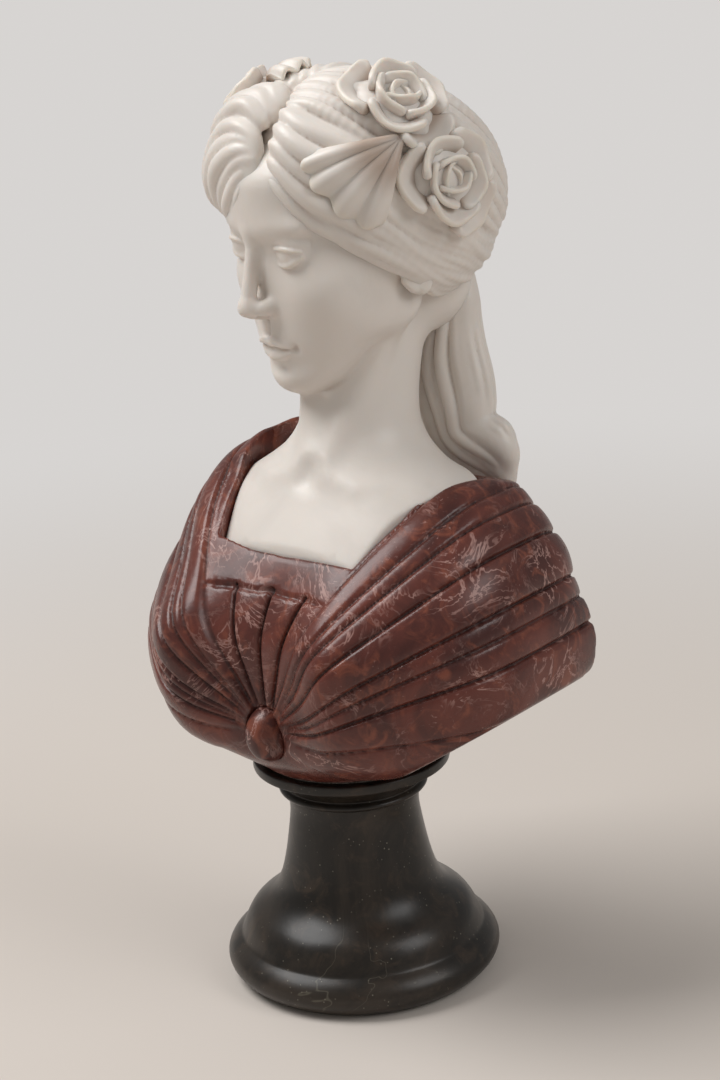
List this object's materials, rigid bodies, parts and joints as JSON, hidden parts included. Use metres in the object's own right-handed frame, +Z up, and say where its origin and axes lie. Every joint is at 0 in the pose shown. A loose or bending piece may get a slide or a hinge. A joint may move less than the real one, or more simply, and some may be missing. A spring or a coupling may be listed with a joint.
{
  "type": "marble bust",
  "caption": "Bust of a woman in three marbles: white head and chest, red pleated bodice and a round dark turned socle.",
  "frame": {"origin": "centre of the flat ring under the socle's foot", "axes": "+Z up, -Y towards the front of the chest, +X to the figure's left"},
  "size_m": [0.2228, 0.1877, 0.4655],
  "materials": {
    "dark_marble": "polished dark green-black marble",
    "red_marble": "polished red-brown marble with pale swirls",
    "white_marble": "honed white marble",
    "cement": "grey stone cement",
    "steel": "zinc-plated steel"
  },
  "bodies": {
    "root": {"socle": "dark_marble", "socle_bed": "cement", "bodice": "red_marble", "brooch": "red_marble", "chest_bed": "cement", "head_and_chest": "white_marble", "tie_rod": "steel", "tie_nut": "steel", "tie_washer": "steel", "chest_dowel": "steel"}
  },
  "joints": []
}
